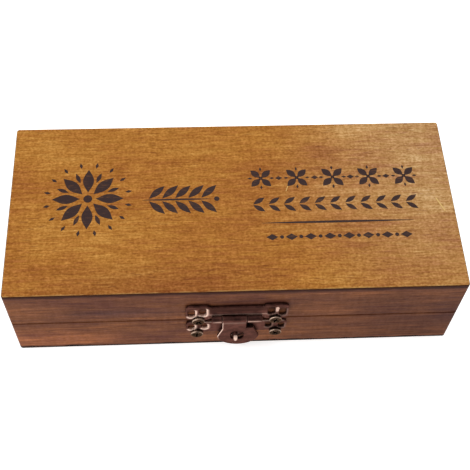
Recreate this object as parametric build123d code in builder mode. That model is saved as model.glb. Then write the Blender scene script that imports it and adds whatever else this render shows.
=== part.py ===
from build123d import *
import os

# Alphabet stamp box: a hinged wooden box with a hasp, and thirty letter stamps standing inside.
# Millimetres. X runs along the box, Y from front to back and Z up.
# The origin is the middle of the underside, where the box stands on a table.

# Wooden box
box_length = 150.0
box_depth = 67.0
base_height = 19.0
lid_height = 19.0
long_wall_thickness = 5.0
end_wall_thickness = 5.0
top_panel_thickness = 2.5
bottom_panel_thickness = 2.5
seam_gap = 0.3
corner_radius = 1.0
panel_edge_radius = 0.6
seam_chamfer = 0.35

# Butt hinges on the back
hinge_inset = 29.0
hinge_length = 18.0
hinge_leaf_reach = 7.5
hinge_leaf_thickness = 0.8
hinge_leaf_corner = 0.8
hinge_leaf_setback = 0.3
hinge_barrel_radius = 1.5
hinge_pin_radius = 0.7
hinge_standoff = 0.25
hinge_middle_knuckle = 6.0
hinge_screw_spacing = 11.0
hinge_screw_reach = 4.9
hinge_screw_radius = 0.7
hinge_screw_head_radius = 1.4
hinge_screw_head_height = 0.6

# Pierced plates of the latch; rises and drops are counted from the seam, slot shifts from an ear's
# middle outwards
plate_thickness = 1.1
plate_setback = 0.25
latch_width = 34.0
ear_width = 8.6
ear_corner = 1.9
upper_plate_rise = 10.8
upper_ear_height = 9.4
upper_slot_length = 5.4
upper_slot_width = 2.4
upper_slot_spacing = 3.7
upper_slot_margin = 1.3
upper_slot_stagger = 0.8
upper_slot_shift = 0.5
bar_setback = 1.1
lower_plate_drop = 9.6
lower_ear_height = 6.7
lower_slot_length = 3.8
lower_slot_width = 2.1
lower_slot_spacing = 4.3
lower_slot_margin = 1.2
lower_slot_stagger = 0.55
lower_slot_shift = 0.3
catch_web_height = 7.2
catch_pad_radius = 3.6

# Screws of the latch
upper_screw_spacing = 25.7
lower_screw_spacing = 26.7
upper_screw_rise = 2.0
lower_lobe_radius = 2.3
latch_screw_radius = 0.9
latch_screw_head_radius = 2.1
latch_screw_head_height = 1.2

# Hasp: barrel, swinging tongue and the staple that it drops over
hasp_rise = 3.0
hasp_barrel_radius = 1.4
hasp_pin_radius = 0.6
hasp_standoff = 0.2
tongue_middle_x = 0.6
tongue_neck_middle_x = -0.8
tongue_neck_width = 8.0
tongue_width = 14.2
tongue_thickness = 1.0
tongue_edge_radius = 0.35
tongue_left_shoulder_drop = 6.1
tongue_right_shoulder_drop = 5.4
tongue_right_shoulder_width = 2.4
tongue_widest_drop = 11.6
tongue_tip_drop = 18.0
tongue_shoulder_radius = 1.0
tongue_slot_width = 4.4
tongue_slot_corner = 1.6
staple_x = -0.3
staple_drop = 8.0
staple_reach = 4.3
staple_leg_spacing = 3.0
staple_wire_radius = 0.8
staple_clearance = 0.6

# Stamps
stamp_rows = ["ABCDEFGHIJ", "KLMNOPQRST", "UVWXYZ&!?."]
row_names = ["back_row", "middle_row", "front_row"]
symbol_names = {"&": "ampersand", "!": "exclamation", "?": "question", ".": "stop"}
stamp_head_room = 7.0
stamp_gap = 0.4
stamp_end_clearance = 0.7
stamp_side_clearance = 0.95
stamp_corner_radius = 0.7
stamp_top_chamfer = 0.5
rubber_backing = 1.0
rubber_relief = 1.2
rubber_inset = 0.5
letter_font_size = 14.0
letter_stroke = 1.7

# Clearances
fixed_clearance = 0.02
running_clearance = 0.05
knuckle_gap = 0.2
notch_clearance = 0.3
screw_tip_cover = 0.8

# Sizes that follow from those above
box_height = base_height + lid_height
front_y = -box_depth / 2
back_y = box_depth / 2
seam_z = base_height
base_rim = seam_z - seam_gap / 2
lid_rim = seam_z + seam_gap / 2
base_floor = bottom_panel_thickness
lid_ceiling = box_height - top_panel_thickness
inner_length = box_length - 2 * end_wall_thickness
inner_depth = box_depth - 2 * long_wall_thickness

hinge_axis_y = back_y + hinge_standoff + hinge_barrel_radius
hinge_centres = [hinge_inset - box_length / 2, box_length / 2 - hinge_inset]
hasp_axis_z = seam_z + hasp_rise
hasp_axis_proud = hasp_standoff + hasp_barrel_radius
hasp_axis_y = front_y - hasp_axis_proud

ear_x = (latch_width - ear_width) / 2
upper_screw_z = seam_z + upper_screw_rise
upper_lobe_radius = upper_screw_rise - plate_setback
lower_screw_z = seam_z - lower_plate_drop + lower_lobe_radius
staple_z = seam_z - staple_drop


def facing_front(x, z, proud=0.0):
    """A plane on the front of the box that looks out of it, with its own Y axis pointing up."""
    return Plane(origin=(x, front_y - proud, z), x_dir=(1, 0, 0), z_dir=(0, -1, 0))


def facing_back(x, z, proud=0.0):
    """A plane on the back of the box that looks out of it, with its own Y axis pointing up."""
    return Plane(origin=(x, back_y + proud, z), x_dir=(-1, 0, 0), z_dir=(0, 1, 0))


upper_screw_planes = [facing_front(side * upper_screw_spacing / 2, upper_screw_z) for side in (-1, 1)]
lower_screw_planes = [facing_front(side * lower_screw_spacing / 2, lower_screw_z) for side in (-1, 1)]


def hinge_screw_planes(up):
    """The screw places of both hinges, above the seam for up = 1 and below it for up = -1."""
    return [
        facing_back(centre + side * hinge_screw_spacing / 2, seam_z + up * hinge_screw_reach)
        for centre in hinge_centres
        for side in (-1, 1)
    ]


def save(piece, name):
    """Label a finished piece and write its STEP file."""
    piece.part.label = name
    export_step(piece.part, f"parts/{name}.step")


def long_wall(side, low, high, rim, screw_planes, screw_radius):
    """Front (side -1) or back (side 1) board, rounded at its outer corners, with its screw holes."""
    with BuildPart() as board:
        with BuildSketch(Plane.XY.offset(low)):
            with Locations((0, side * (box_depth - long_wall_thickness) / 2)):
                Rectangle(box_length, long_wall_thickness)
        extrude(amount=high - low)
        outer_corners = board.edges().filter_by(Axis.Z).sort_by(Axis.Y)
        fillet(outer_corners[:2] if side < 0 else outer_corners[-2:], corner_radius)
        rim_edges = board.edges().filter_by_position(Axis.Z, rim, rim)
        inner_edge = rim_edges.sort_by(Axis.Y)[-1 if side < 0 else 0]
        chamfer([edge for edge in rim_edges if edge != inner_edge], seam_chamfer)
        with Locations(*screw_planes):
            Hole(screw_radius + fixed_clearance, depth=long_wall_thickness - screw_tip_cover)
    return board


def end_wall(side, low, high, rim):
    """Left (side -1) or right (side 1) board, which fits between the long walls."""
    with BuildPart() as board:
        with BuildSketch(Plane.XY.offset(low)):
            with Locations((side * (box_length - end_wall_thickness) / 2, 0)):
                Rectangle(end_wall_thickness, inner_depth)
        extrude(amount=high - low)
        rim_edges = board.edges().filter_by_position(Axis.Z, rim, rim).filter_by(Axis.Y)
        chamfer(rim_edges.sort_by(Axis.X)[0 if side < 0 else -1], seam_chamfer)
    return board


def panel(low, thickness, outer_face):
    """Thin board over the whole outline; outer_face is 0 for its underside and -1 for its top."""
    with BuildPart() as board:
        with BuildSketch(Plane.XY.offset(low)):
            RectangleRounded(box_length, box_depth, corner_radius)
        extrude(amount=thickness)
        fillet(board.faces().sort_by(Axis.Z)[outer_face].edges(), panel_edge_radius)
    return board


def pan_head_screw(shank_radius, head_radius, head_height, shank_length):
    """Cross-head screw along Z, with the underside of its flat, round-shouldered head at the origin."""
    shoulder = head_height * 0.3
    tip_length = shank_radius * 1.5
    recess_width = head_radius * 0.28
    recess_span = head_radius * 1.15
    with BuildPart() as screw:
        with BuildSketch(Plane.XZ):
            with BuildLine():
                edge = TangentArc(
                    (head_radius - shoulder, head_height),
                    (head_radius, head_height - shoulder),
                    tangent=(1, 0),
                )
                Polyline(
                    edge @ 0,
                    (0, head_height),
                    (0, -shank_length),
                    (shank_radius * 0.3, -shank_length),
                    (shank_radius, tip_length - shank_length),
                    (shank_radius, 0),
                    (head_radius, 0),
                    edge @ 1,
                )
            make_face()
        revolve(axis=Axis.Z)
        with BuildSketch(Plane.XY.offset(head_height)):
            Rectangle(recess_span, recess_width)
            Rectangle(recess_width, recess_span)
        extrude(amount=-head_height * 0.6, mode=Mode.SUBTRACT)
    return screw.part


def cylinder_along_x(radius, start, end, axis_y, axis_z, mode=Mode.ADD):
    """Add to the piece being built, or cut from it, a round bar that lies along X."""
    with Locations(((start + end) / 2, axis_y, axis_z)):
        Cylinder(radius, end - start, rotation=(0, 90, 0), mode=mode)


def hinge_leaf(centre, up):
    """Leaf above (up 1) or below (up -1) the seam; the upper one has the middle knuckle."""
    half = hinge_length / 2
    middle = hinge_middle_knuckle / 2
    outer_start = middle + knuckle_gap
    if up > 0:
        knuckles = [(-middle, middle)]
        notches = [(-half, -middle), (middle, half)]
    else:
        knuckles = [(-half, -outer_start), (outer_start, half)]
        notches = [(-outer_start, outer_start)]
    bore = hinge_pin_radius + (running_clearance if up > 0 else fixed_clearance)
    notch_depth = hinge_barrel_radius + notch_clearance
    with BuildPart() as leaf:
        with BuildSketch(facing_back(centre, seam_z + up * (hinge_leaf_reach + hinge_leaf_setback) / 2)):
            Rectangle(hinge_length, hinge_leaf_reach - hinge_leaf_setback)
        extrude(amount=hinge_leaf_thickness)
        free_corners = leaf.edges().filter_by(Axis.Y).sort_by(Axis.Z)
        fillet(free_corners[-2:] if up > 0 else free_corners[:2], hinge_leaf_corner)
        for start, end in notches:
            with BuildSketch(facing_back(centre + (start + end) / 2, seam_z + up * notch_depth / 2)):
                Rectangle(end - start, notch_depth)
            extrude(amount=hinge_leaf_thickness, mode=Mode.SUBTRACT)
        for start, end in knuckles:
            cylinder_along_x(hinge_barrel_radius, centre + start, centre + end, hinge_axis_y, seam_z)
        cylinder_along_x(bore, centre - half, centre + half, hinge_axis_y, seam_z, Mode.SUBTRACT)
        with Locations(*hinge_screw_planes(up)):
            Hole(hinge_screw_radius + fixed_clearance, depth=2 * hinge_leaf_thickness)
    return leaf


os.makedirs("parts", exist_ok=True)

# Frames and panels of the base and the lid
for side, place in ((-1, "front"), (1, "back")):
    if side < 0:
        base_planes, lid_planes = lower_screw_planes, upper_screw_planes
        radius = latch_screw_radius
    else:
        base_planes, lid_planes = hinge_screw_planes(-1), hinge_screw_planes(1)
        radius = hinge_screw_radius
    base_board = long_wall(side, base_floor, base_rim, base_rim, base_planes, radius)
    save(base_board, f"base_{place}_wall")
    lid_board = long_wall(side, lid_rim, lid_ceiling, lid_rim, lid_planes, radius)
    save(lid_board, f"lid_{place}_wall")

for side, place in ((-1, "left"), (1, "right")):
    save(end_wall(side, base_floor, base_rim, base_rim), f"base_{place}_wall")
    save(end_wall(side, lid_rim, lid_ceiling, lid_rim), f"lid_{place}_wall")

save(panel(0, bottom_panel_thickness, 0), "base_bottom_panel")
save(panel(lid_ceiling, top_panel_thickness, -1), "lid_top_panel")

# Back hinges
for name, centre in zip(("left", "right"), hinge_centres):
    save(hinge_leaf(centre, -1), f"{name}_hinge_base_leaf")
    save(hinge_leaf(centre, 1), f"{name}_hinge_lid_leaf")
    with BuildPart() as hinge_pin:
        start, end = centre - hinge_length / 2, centre + hinge_length / 2
        cylinder_along_x(hinge_pin_radius, start, end, hinge_axis_y, seam_z)
        chamfer(hinge_pin.edges(), hinge_pin_radius * 0.3)
    save(hinge_pin, f"{name}_hinge_pin")

hinge_screw = pan_head_screw(
    hinge_screw_radius,
    hinge_screw_head_radius,
    hinge_screw_head_height,
    hinge_leaf_thickness + long_wall_thickness - screw_tip_cover,
)
for up, body in ((-1, "base"), (1, "lid")):
    with BuildPart() as hinge_screws:
        with Locations(*[plane.offset(hinge_leaf_thickness) for plane in hinge_screw_planes(up)]):
            add(hinge_screw)
    save(hinge_screws, f"hinge_{body}_screws")

# Upper plate of the latch, with the outer knuckles of the hasp
upper_top_z = seam_z + upper_plate_rise
upper_ear_z = upper_top_z - upper_ear_height / 2
upper_slot_z = upper_top_z - upper_slot_margin - upper_slot_length / 2
window_top_z = hasp_axis_z + hasp_barrel_radius + notch_clearance
tongue_knuckle_start = tongue_neck_middle_x - tongue_neck_width / 2
tongue_knuckle_end = tongue_neck_middle_x + tongue_neck_width / 2
barrel_half = ear_x - ear_width / 2
outer_knuckles = [
    (-barrel_half, tongue_knuckle_start - knuckle_gap),
    (tongue_knuckle_end + knuckle_gap, barrel_half),
]

with BuildPart() as hasp_leaf:
    with BuildSketch(facing_front(0, 0)):
        with Locations((0, (window_top_z + upper_top_z - bar_setback) / 2)):
            Rectangle(2 * ear_x, upper_top_z - bar_setback - window_top_z)
        for start, end in outer_knuckles:
            with Locations(((start + end) / 2, (hasp_axis_z + window_top_z) / 2)):
                Rectangle(end - start, window_top_z - hasp_axis_z)
        for side in (-1, 1):
            with Locations((side * ear_x, upper_ear_z)):
                RectangleRounded(ear_width, upper_ear_height, ear_corner)
            with Locations((side * upper_screw_spacing / 2, upper_screw_z)):
                Circle(upper_lobe_radius)
        for side in (-1, 1):
            for reach, drop in ((-upper_slot_spacing / 2, 0), (upper_slot_spacing / 2, upper_slot_stagger)):
                with Locations((side * (ear_x + upper_slot_shift + reach), upper_slot_z - drop)):
                    SlotOverall(upper_slot_length, upper_slot_width, rotation=90, mode=Mode.SUBTRACT)
    extrude(amount=plate_thickness)
    for start, end in outer_knuckles:
        cylinder_along_x(hasp_barrel_radius, start, end, hasp_axis_y, hasp_axis_z)
    cylinder_along_x(
        hasp_pin_radius + fixed_clearance, -barrel_half, barrel_half, hasp_axis_y, hasp_axis_z, Mode.SUBTRACT
    )
    with Locations(*upper_screw_planes):
        Hole(latch_screw_radius + fixed_clearance, depth=2 * plate_thickness)
save(hasp_leaf, "hasp_leaf")

with BuildPart() as hasp_pin:
    cylinder_along_x(hasp_pin_radius, -barrel_half, barrel_half, hasp_axis_y, hasp_axis_z)
    chamfer(hasp_pin.edges(), hasp_pin_radius * 0.3)
save(hasp_pin, "hasp_pin")

# Lower plate of the latch
lower_top_z = seam_z - plate_setback
lower_ear_z = lower_top_z - lower_ear_height / 2
lower_slot_z = lower_top_z - lower_slot_margin - lower_slot_length / 2

with BuildPart() as catch_plate:
    with BuildSketch(facing_front(0, 0)):
        with Locations((0, lower_top_z - catch_web_height / 2)):
            Rectangle(2 * ear_x, catch_web_height)
        with Locations((staple_x, staple_z)):
            Circle(catch_pad_radius)
        for side in (-1, 1):
            with Locations((side * ear_x, lower_ear_z)):
                RectangleRounded(ear_width, lower_ear_height, ear_corner)
            with Locations((side * lower_screw_spacing / 2, lower_screw_z)):
                Circle(lower_lobe_radius)
        for side in (-1, 1):
            for reach, drop in ((-lower_slot_spacing / 2, 0), (lower_slot_spacing / 2, lower_slot_stagger)):
                with Locations((side * (ear_x + lower_slot_shift + reach), lower_slot_z - drop)):
                    SlotOverall(lower_slot_length, lower_slot_width, rotation=90, mode=Mode.SUBTRACT)
    extrude(amount=plate_thickness)
    with Locations(*lower_screw_planes):
        Hole(latch_screw_radius + fixed_clearance, depth=2 * plate_thickness)
    with Locations(*[facing_front(staple_x, staple_z + end * staple_leg_spacing / 2) for end in (-1, 1)]):
        Hole(staple_wire_radius + fixed_clearance, depth=2 * plate_thickness)
save(catch_plate, "catch_plate")

# Staple: two legs through the lower plate, joined by a half turn in front of the tongue
arc_radius = staple_leg_spacing / 2
arc_start = staple_reach - staple_wire_radius - arc_radius
with BuildPart() as catch_staple:
    with BuildLine(Plane.YZ.offset(staple_x)) as staple_path:
        upper_leg = Line((front_y, staple_z + arc_radius), (front_y - arc_start, staple_z + arc_radius))
        bend = ThreePointArc(
            upper_leg @ 1,
            (front_y - arc_start - arc_radius, staple_z),
            (front_y - arc_start, staple_z - arc_radius),
        )
        Line(bend @ 1, (front_y, staple_z - arc_radius))
    with BuildSketch(facing_front(staple_x, staple_z + arc_radius)):
        Circle(staple_wire_radius)
    sweep(path=staple_path.wires()[0])
save(catch_staple, "catch_staple")

latch_screw = pan_head_screw(
    latch_screw_radius,
    latch_screw_head_radius,
    latch_screw_head_height,
    plate_thickness + long_wall_thickness - screw_tip_cover,
)
for name, planes in (("hasp_screws", upper_screw_planes), ("catch_screws", lower_screw_planes)):
    with BuildPart() as latch_screws:
        with Locations(*[plane.offset(plate_thickness) for plane in planes]):
            add(latch_screw)
    save(latch_screws, name)

# Swinging tongue, whose back lies level with the pin's axis
neck_left = tongue_knuckle_start - tongue_middle_x
neck_right = tongue_knuckle_end - tongue_middle_x
wide_half = tongue_width / 2
left_shoulder_z = hasp_axis_z - tongue_left_shoulder_drop
right_shoulder_z = hasp_axis_z - tongue_right_shoulder_drop
widest_z = hasp_axis_z - tongue_widest_drop
slot_height = staple_leg_spacing + 2 * (staple_wire_radius + staple_clearance)

with BuildPart() as hasp_tongue:
    with BuildSketch(facing_front(tongue_middle_x, 0, hasp_axis_proud)) as tongue_sketch:
        with BuildLine():
            sides = Polyline(
                (-wide_half, widest_z),
                (neck_left, left_shoulder_z),
                (neck_left, hasp_axis_z),
                (neck_right, hasp_axis_z),
                (neck_right, right_shoulder_z),
                (neck_right + tongue_right_shoulder_width, right_shoulder_z),
                (wide_half, widest_z),
            )
            ThreePointArc(sides @ 1, (0, hasp_axis_z - tongue_tip_drop), sides @ 0)
        make_face()
        shoulders = tongue_sketch.vertices().filter_by_position(Axis.Z, left_shoulder_z, right_shoulder_z)
        fillet(shoulders, tongue_shoulder_radius)
        with Locations((staple_x - tongue_middle_x + staple_clearance, staple_z)):
            RectangleRounded(tongue_slot_width, slot_height, tongue_slot_corner, mode=Mode.SUBTRACT)
    extrude(amount=tongue_thickness)
    fillet(hasp_tongue.faces().sort_by(Axis.Y)[0].edges(), tongue_edge_radius)
    cylinder_along_x(
        hasp_barrel_radius, tongue_knuckle_start, tongue_knuckle_end, hasp_axis_y, hasp_axis_z
    )
    cylinder_along_x(
        hasp_pin_radius + running_clearance,
        tongue_knuckle_start,
        tongue_knuckle_end,
        hasp_axis_y,
        hasp_axis_z,
        Mode.SUBTRACT,
    )
save(hasp_tongue, "hasp_tongue")

# Stamps: wooden blocks in rows, letters upright for someone in front of the box
columns = len(stamp_rows[0])
stamp_width = (inner_length - 2 * stamp_end_clearance - (columns - 1) * stamp_gap) / columns
stamp_depth = (inner_depth - 2 * stamp_side_clearance - (len(stamp_rows) - 1) * stamp_gap) / len(stamp_rows)
block_bottom = base_floor + rubber_relief + rubber_backing
block_top = lid_ceiling - stamp_head_room
row_pitch = stamp_depth + stamp_gap
column_pitch = stamp_width + stamp_gap


def outline(wire):
    """Add to the sketch's line the corners of a letter's outline, joined by straight edges."""
    return Polyline(*[edge @ 0 for edge in wire.order_edges()], close=True)


def rubber_die(letter, place):
    """Backing glued under a block, with the raised letter that stands on the floor of the tray."""
    with BuildSketch(mode=Mode.PRIVATE) as glyph:
        with Locations(place):
            Text(letter, letter_font_size, align=Align.CENTER, single_line_width=letter_stroke)
    with BuildPart() as die:
        with BuildSketch(Plane.XY.offset(base_floor + rubber_relief)):
            with Locations(place):
                RectangleRounded(
                    stamp_width - 2 * rubber_inset, stamp_depth - 2 * rubber_inset, stamp_corner_radius
                )
        extrude(amount=rubber_backing)
        with BuildSketch(Plane.XY.offset(base_floor)):
            for face in glyph.faces():
                with BuildLine():
                    outline(face.outer_wire())
                make_face()
                for hole in face.inner_wires():
                    with BuildLine():
                        outline(hole)
                    make_face(mode=Mode.SUBTRACT)
        extrude(amount=rubber_relief)
    return die.part


for row, letters in enumerate(stamp_rows):
    row_y = row_pitch * ((len(stamp_rows) - 1) / 2 - row)
    places = [(column_pitch * (column - (columns - 1) / 2), row_y) for column in range(columns)]

    for letter, place in zip(letters, places):
        with BuildPart() as stamp:
            with BuildSketch(Plane.XY.offset(block_bottom)):
                with Locations(place):
                    RectangleRounded(stamp_width, stamp_depth, stamp_corner_radius)
            extrude(amount=block_top - block_bottom)
            chamfer(stamp.faces().sort_by(Axis.Z)[-1].edges(), stamp_top_chamfer)
        save(stamp, "stamp_" + symbol_names.get(letter, letter.lower()))

    dies = [rubber_die(letter, place) for letter, place in zip(letters, places)]
    with BuildPart() as rubber_dies:
        add(dies)
    save(rubber_dies, "rubber_dies_" + row_names[row])
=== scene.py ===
# %% [markdown]
# # An alphabet stamp box
# A small stained wooden box holds thirty rubber stamps. A base tray and a lid of equal height meet
# half way up, an antique copper hasp closes the front and two little butt hinges join the back.
# The construction comes as a fixed frame of separate nodes. This lesson gives each of them its
# finish, and adds what is too fine for the construction: rounded metal edges, screws, ink, letters.

# %% Load the frame
import math
import bmesh
import bpy
from mathutils import Matrix, Quaternion, Vector


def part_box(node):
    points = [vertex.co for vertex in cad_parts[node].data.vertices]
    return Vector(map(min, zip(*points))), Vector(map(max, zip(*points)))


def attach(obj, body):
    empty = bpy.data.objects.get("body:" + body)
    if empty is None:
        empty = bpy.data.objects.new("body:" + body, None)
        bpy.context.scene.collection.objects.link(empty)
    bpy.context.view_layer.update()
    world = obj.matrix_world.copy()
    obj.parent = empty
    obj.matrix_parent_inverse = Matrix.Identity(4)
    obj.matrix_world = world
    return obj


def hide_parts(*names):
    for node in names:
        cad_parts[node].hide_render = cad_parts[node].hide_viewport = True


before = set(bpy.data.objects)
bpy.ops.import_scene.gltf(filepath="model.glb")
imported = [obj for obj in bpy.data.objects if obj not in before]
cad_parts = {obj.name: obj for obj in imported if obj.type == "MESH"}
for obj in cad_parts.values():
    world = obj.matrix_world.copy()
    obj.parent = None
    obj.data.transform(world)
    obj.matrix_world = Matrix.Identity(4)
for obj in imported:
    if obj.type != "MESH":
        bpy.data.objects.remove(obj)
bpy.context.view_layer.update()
mm = 0.001

# %% [markdown]
# ## Where the camera stands
# The photograph looks steeply down at the closed box, from in front of it and a little to the left,
# with the camera tilted by three degrees. A long lens keeps the sides of the box nearly parallel.
# `to_track_quat` aims the camera, and a turn about its own viewing axis adds the tilt.

# %% The camera
def add_object(name, data):
    """A new object at the origin, linked into the scene."""
    piece = bpy.data.objects.new(name, data)
    bpy.context.collection.objects.link(piece)
    return piece


def aim(piece, place, target, tilt=0.0):
    """Put a camera or a lamp at a place, look at the target, and tilt it about its viewing axis."""
    aimed = (Vector(target) - Vector(place)).to_track_quat("-Z", "Y")
    piece.rotation_mode = "QUATERNION"
    piece.rotation_quaternion = aimed @ Quaternion((0, 0, 1), tilt)
    piece.location = place


camera_place = Vector((-15.6, -170.4, 294.0)) * mm
camera_aim = Vector((-1.32, -12.69, 38.0)) * mm
camera_data = bpy.data.cameras.new("camera")
camera_data.lens = 69.9
camera_data.sensor_width = 36.0
camera_data.shift_x = 0.0077
camera_data.shift_y = 0.0017
camera = add_object("camera", camera_data)
aim(camera, camera_place, camera_aim, tilt=math.radians(3.05))
bpy.context.scene.camera = camera
print("camera distance in mm:", round((camera_aim - camera_place).length / mm))

# %% [markdown]
# ## Small helpers for node trees
# Every finish below is a tree of shader nodes. One helper adds a node and fills its inputs: a
# socket is linked, and any other value is typed in. The others are short names for the nodes that
# come up again and again. Colours are given as the eye reads them on a screen, from 0 to 255, and
# turned into the linear values that the shader works with.

# %% Colours, and one node at a time
def colour(red, green, blue):
    """Linear colour with alpha from screen values between 0 and 255."""
    def linear(value):
        value = value / 255
        return value / 12.92 if value <= 0.04045 else ((value + 0.055) / 1.055) ** 2.4
    return (linear(red), linear(green), linear(blue), 1.0)


def add_node(tree, kind, inputs=None, **settings):
    """Add a node, set its properties, and link or type in its inputs by name or number."""
    node = tree.nodes.new(kind)
    for key, value in settings.items():
        setattr(node, key, value)
    for key, value in (inputs or {}).items():
        if isinstance(value, bpy.types.NodeSocket):
            tree.links.new(value, node.inputs[key])
        else:
            node.inputs[key].default_value = value
    return node


print("a mid grey of 128 is", round(colour(128, 128, 128)[0], 3), "in linear light")

# %% Numbers and vectors in a tree
def calculate(tree, operation, *values):
    """One Math node."""
    return add_node(tree, "ShaderNodeMath", dict(enumerate(values)), operation=operation).outputs[0]


def times(tree, first, second):
    return calculate(tree, "MULTIPLY", first, second)


def vectors(tree, operation, *values):
    """One Vector Math node; a length, a distance or a dot product comes out as a number."""
    node = add_node(tree, "ShaderNodeVectorMath", dict(enumerate(values)), operation=operation)
    return node.outputs["Value" if operation in ("LENGTH", "DISTANCE", "DOT_PRODUCT") else "Vector"]


def separate(tree, vector):
    """X, Y and Z of a vector."""
    return add_node(tree, "ShaderNodeSeparateXYZ", {0: vector}).outputs


def coordinates(tree, kind):
    """The object's own coordinates, or its normal."""
    return add_node(tree, "ShaderNodeTexCoord").outputs[kind]


def remap(tree, value, low, high, new_low=0.0, new_high=1.0, smooth=True):
    """Bring a value from one range to another, held inside the new one."""
    inputs = {"Value": value, "From Min": low, "From Max": high, "To Min": new_low, "To Max": new_high}
    kind = "SMOOTHSTEP" if smooth else "LINEAR"
    return add_node(tree, "ShaderNodeMapRange", inputs, interpolation_type=kind).outputs["Result"]


print("helpers for numbers and vectors ready")

# %% Colours and surfaces in a tree
def blend(tree, factor, first, second, mode="MIX"):
    """Mix two colours; a Mix node has its colours on inputs 6 and 7 and on output 2."""
    settings = {"data_type": "RGBA", "blend_type": mode, "clamp_factor": True}
    return add_node(tree, "ShaderNodeMix", {0: factor, 6: first, 7: second}, **settings).outputs[2]


def ramp(tree, factor, stops):
    """Colour ramp through (position, colour) pairs."""
    node = add_node(tree, "ShaderNodeValToRGB", {"Fac": factor})
    elements = node.color_ramp.elements
    while len(elements) < len(stops):
        elements.new(0.5)
    for element, (position, tint) in zip(elements, stops):
        element.position = position
        element.color = tint
    return node.outputs["Color"]


def grey(tree, *channels):
    """A colour from one number, or from three."""
    channels = channels if len(channels) == 3 else channels * 3
    return add_node(tree, "ShaderNodeCombineColor", dict(enumerate(channels))).outputs[0]


def start_material(name):
    """A new material with its tree, its shader and the object's own coordinates."""
    material = bpy.data.materials.new(name)
    material.use_nodes = True
    tree = material.node_tree
    tree.nodes.clear()
    shader = add_node(tree, "ShaderNodeBsdfPrincipled")
    add_node(tree, "ShaderNodeOutputMaterial", {0: shader.outputs[0]})
    return material, tree, shader, coordinates(tree, "Object")


def fill(shader, **inputs):
    """Set the shader's inputs; underscores in a name stand for spaces."""
    for key, value in inputs.items():
        socket = shader.inputs[key.replace("_", " ")]
        if isinstance(value, bpy.types.NodeSocket):
            shader.id_data.links.new(value, socket)
        else:
            socket.default_value = value


def bumps(tree, strength, distance, height, **inputs):
    """The normal of a surface with fine relief; distance in mm."""
    inputs = {"Strength": strength, "Distance": distance * mm, "Height": height, **inputs}
    return add_node(tree, "ShaderNodeBump", inputs).outputs[0]


print("helpers for colours and surfaces ready")

# %% [markdown]
# ## Light
# The box stands on plain white and throws almost no shadow, so the light is soft and comes from
# everywhere. A wide lamp above makes the lid the brightest face and leaves the front in half shade.
# The floor glows a little by itself, as a lit white sheet does when a photograph is exposed for wood.

# %% Light and floor
world = bpy.data.worlds.new("studio")
world.use_nodes = True
world.node_tree.nodes.clear()
sky = add_node(world.node_tree, "ShaderNodeBackground", {"Color": colour(255, 255, 255), "Strength": 0.30})
add_node(world.node_tree, "ShaderNodeOutputWorld", {0: sky.outputs[0]})
bpy.context.scene.world = world


def soft_lamp(name, place, target, width, power):
    """A square area lamp that looks at a point; sizes in metres, power in watts."""
    data = bpy.data.lights.new(name, "AREA")
    data.shape = "SQUARE"
    data.size = width
    data.energy = power
    aim(add_object(name, data), place, target)


soft_lamp("lamp_above", (0.05, 0.20, 0.75), (0, 0, 0), width=0.50, power=3.4)
soft_lamp("lamp_left", (-0.45, -0.15, 0.50), (0, 0, 0.02), width=0.16, power=0.9)

floor_half = 1.5
corners = [(x * floor_half, y * floor_half, 0) for x, y in ((-1, -1), (1, -1), (1, 1), (-1, 1))]
floor_mesh = bpy.data.meshes.new("floor")
floor_mesh.from_pydata(corners, [], [(0, 1, 2, 3)])
floor = add_object("floor", floor_mesh)
paper, tree, shader, place = start_material("white_paper")
fill(shader, Base_Color=(0.9, 0.9, 0.9, 1), Roughness=0.9)
fill(shader, Emission_Color=(1, 1, 1, 1), Emission_Strength=0.74)
floor_mesh.materials.append(paper)
bpy.context.scene.view_settings.view_transform = "Standard"
print("floor is", 2 * floor_half, "m wide")

# %% [markdown]
# ## Stained wood
# The boards are a pale, fine-grained wood under a thin brown stain. What makes it look like wood is
# noise, stretched by different amounts along the grain: soft patches where the stain took unevenly,
# streaks, fibres and dark lines that follow the grain, a faint figure across it, and short pores that
# lie in clusters. Because the noise fills space, the end of a board shows its fibres end on.

# %% Noise stretched along the grain
AXES = {"x": 0, "y": 1, "z": 2}
# Length along the grain and width across it in mm, detail, roughness, and a shift of its own
WOOD_NOISES = {
    "patches": (30, 14, 2.0, 0.5, 0),
    "streaks": (12, 1.3, 3.0, 0.6, 3),
    "fibres": (5.0, 0.42, 3.0, 0.65, 7),
    "lines": (24, 0.4, 2.0, 0.5, 13),
    "pores": (3.6, 0.5, 1.0, 0.5, 11),
    "clusters": (20, 8, 2.0, 0.5, 17),
    "specks": (0.9, 0.7, 2.0, 0.6, 23),
    "figure": (1.5, 6, 3.0, 0.6, 29),
}


def grain_noise(tree, place, grain, length, width, detail, roughness, shift=0.0):
    """Noise whose blotches are length mm long along the grain and width mm across it."""
    density = [1 / (width * mm)] * 3
    density[AXES[grain]] = 1 / (length * mm)
    inputs = {"Vector": place, "Location": (shift, shift * 0.7, shift * 1.3), "Scale": density}
    mapped = add_node(tree, "ShaderNodeMapping", inputs).outputs[0]
    inputs = {"Vector": mapped, "Scale": 1.0, "Detail": detail, "Roughness": roughness}
    return add_node(tree, "ShaderNodeTexNoise", inputs).outputs["Fac"]


def wood_noise(tree, place, grain, name, shift):
    """One of the noises above, moved to its own place in the wood."""
    *sizes, own_shift = WOOD_NOISES[name]
    return grain_noise(tree, place, grain, *sizes, shift + own_shift)


print("noises in the wood:", ", ".join(WOOD_NOISES))

# %% Stain on the wood
# How fast red, green and blue follow the depth of the stain
STAIN_POWERS = (1.0, 1.3, 2.0)
# The range over which each noise makes the stain deeper or thinner
STAIN_RANGES = {"fibres": (0.25, 0.75), "specks": (0.3, 0.7), "lines": (0.67, 0.54), "figure": (0.3, 0.7)}


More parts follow.
